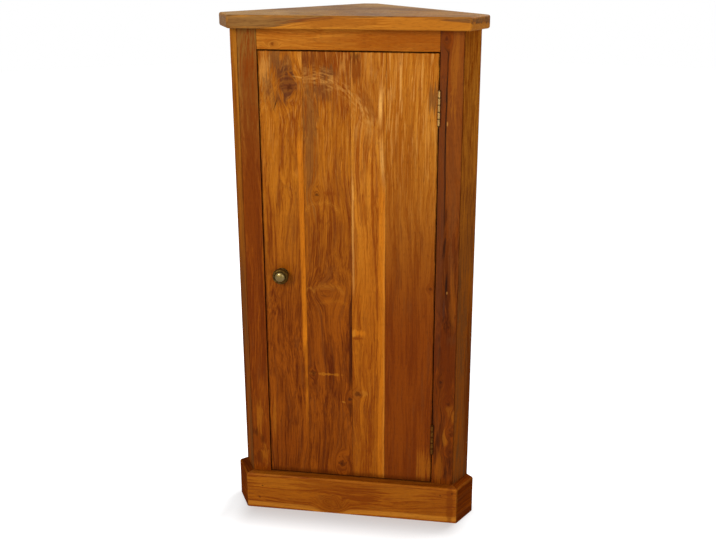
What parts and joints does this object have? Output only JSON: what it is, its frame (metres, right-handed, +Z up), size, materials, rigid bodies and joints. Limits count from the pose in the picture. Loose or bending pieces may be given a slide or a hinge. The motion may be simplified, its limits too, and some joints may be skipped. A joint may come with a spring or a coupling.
{
  "type": "corner cupboard",
  "caption": "Corner cupboard with canted sides, a flush plank door on butt hinges, fixed shelves inside, an overhanging top and a mitred plinth.",
  "frame": {"origin": "on the floor, under the middle of the overall box, which the knob bounds in front and the blunted back corner behind", "axes": "+Z up, +Y from the front back to the corner of the room, +X to the right of someone facing the door"},
  "size_m": [0.493, 0.2926, 1],
  "materials": {
    "teak_top": "satin varnish over golden brown teak",
    "teak_frame": "satin varnish over dark reddish brown teak",
    "teak_plinth": "satin varnish over orange brown teak",
    "teak_door": "satin varnish over golden to reddish brown teak",
    "teak_inside": "thinly oiled teak, not polished",
    "brass": "worn satin brass",
    "aged_brass": "polished brass, darkened with age",
    "steel": "plain zinc grey",
    "brown_plastic": "matt"
  },
  "bodies": {
    "carcase": {"top_board_front": "teak_top", "top_board_middle": "teak_top", "top_board_back": "teak_top", "left_stile": "teak_frame", "right_stile": "teak_frame", "left_return": "teak_frame", "right_return": "teak_frame", "top_rail": "teak_frame", "plinth_front": "teak_plinth", "plinth_left": "teak_plinth", "plinth_right": "teak_plinth", "bottom_rail": "teak_inside", "left_back_board_1": "teak_inside", "left_back_board_2": "teak_inside", "left_back_board_3": "teak_inside", "right_back_board_1": "teak_inside", "right_back_board_2": "teak_inside", "right_back_board_3": "teak_inside", "back_corner_post": "teak_inside", "left_batten": "teak_inside", "right_batten": "teak_inside", "bottom_board": "teak_inside", "lower_shelf": "teak_inside", "upper_shelf": "teak_inside", "left_bottom_cleat": "teak_inside", "left_lower_cleat": "teak_inside", "left_upper_cleat": "teak_inside", "left_top_cleat": "teak_inside", "right_bottom_cleat": "teak_inside", "right_lower_cleat": "teak_inside", "right_upper_cleat": "teak_inside", "right_top_cleat": "teak_inside", "door_stop": "teak_inside", "lower_hinge_frame_leaf": "brass", "lower_hinge_pin": "brass", "lower_hinge_frame_screw_1": "brass", "lower_hinge_frame_screw_2": "brass", "upper_hinge_frame_leaf": "brass", "upper_hinge_pin": "brass", "upper_hinge_frame_screw_1": "brass", "upper_hinge_frame_screw_2": "brass", "catch_housing": "brown_plastic"},
    "door": {"door_board_1": "teak_door", "door_board_2": "teak_door", "door_board_3": "teak_door", "door_board_4": "teak_door", "lower_door_ledge": "teak_inside", "upper_door_ledge": "teak_inside", "lower_hinge_door_leaf": "brass", "lower_hinge_door_screw_1": "brass", "lower_hinge_door_screw_2": "brass", "upper_hinge_door_leaf": "brass", "upper_hinge_door_screw_1": "brass", "upper_hinge_door_screw_2": "brass", "knob": "aged_brass", "knob_rose": "aged_brass", "knob_screw": "steel", "catch_strike": "steel"}
  },
  "joints": [
    {"name": "door_hinge", "type": "hinge", "parent": "carcase", "child": "door", "pos_m": [0.16275, -0.12545, 0.508], "axis": [0, 0, 1], "range_deg": [0, 145]}
  ]
}
